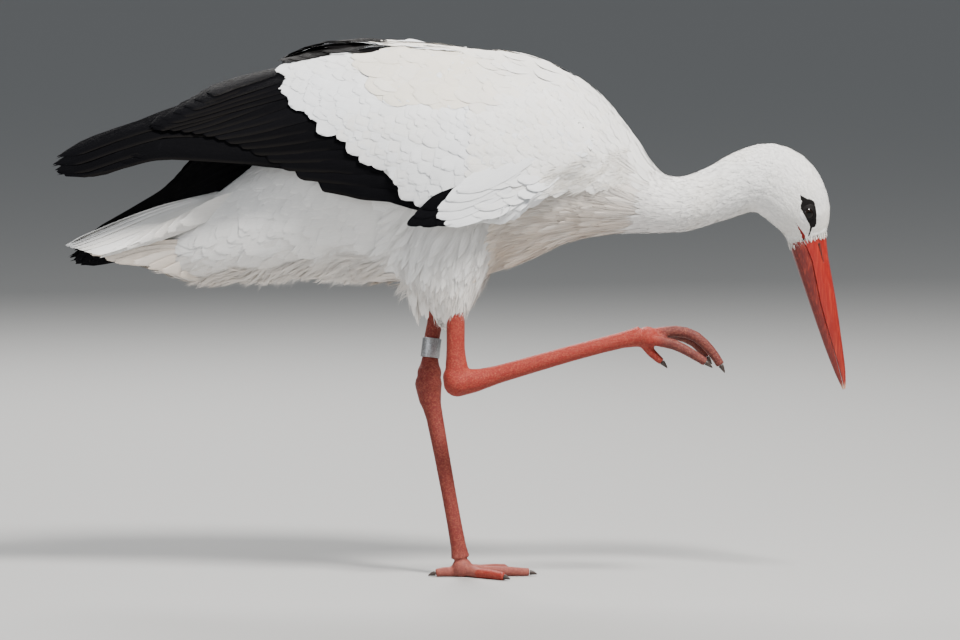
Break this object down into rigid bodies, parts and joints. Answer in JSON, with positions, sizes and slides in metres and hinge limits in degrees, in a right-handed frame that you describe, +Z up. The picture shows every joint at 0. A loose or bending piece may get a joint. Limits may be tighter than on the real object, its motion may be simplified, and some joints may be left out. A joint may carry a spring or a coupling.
{
  "type": "white stork",
  "caption": "Life-size white stork standing on one leg, the other raised and held forward, neck bent, bill pointing down.",
  "frame": {"origin": "the middle of the standing foot's sole, on the floor", "axes": "+X is where the bird faces, from tail to bill; +Y is its left side; +Z is up"},
  "size_m": [0.8882, 0.2179, 0.605],
  "materials": {
    "plumage_white": "flesh under short white feathers, matt",
    "wing_coverts": "folded wing under overlapping rounded white feathers, matt",
    "loose_plumage": "loose hair-like white feathers",
    "tail_feathers": "smooth white vanes",
    "flight_feathers": "black vanes with a low gloss",
    "leg_skin": "red scaled skin, dusty",
    "bill_horn": "red horn, satin",
    "claw_horn": "dark horn",
    "eye": "wet, nearly black",
    "ring_metal": "plain worn metal band"
  },
  "bodies": {
    "root": {"head": "plumage_white", "neck_upper": "plumage_white", "neck_lower": "plumage_white", "trunk": "plumage_white", "tail_coverts": "loose_plumage", "tail": "tail_feathers", "wing_right_coverts": "wing_coverts", "wing_left_coverts": "wing_coverts", "wing_right_flight": "flight_feathers", "wing_left_flight": "flight_feathers", "thigh_right": "plumage_white", "thigh_left": "plumage_white", "shank_right": "leg_skin", "shank_left": "leg_skin", "tarsus_right": "leg_skin", "tarsus_left": "leg_skin", "foot_right": "leg_skin", "foot_left": "leg_skin", "claw_right_middle": "claw_horn", "claw_right_outer": "claw_horn", "claw_right_inner": "claw_horn", "claw_right_hind": "claw_horn", "claw_left_middle": "claw_horn", "claw_left_outer": "claw_horn", "claw_left_inner": "claw_horn", "claw_left_hind": "claw_horn", "bill_upper": "bill_horn", "bill_lower": "bill_horn", "eye_right": "eye", "eye_left": "eye", "leg_ring": "ring_metal"}
  },
  "joints": []
}
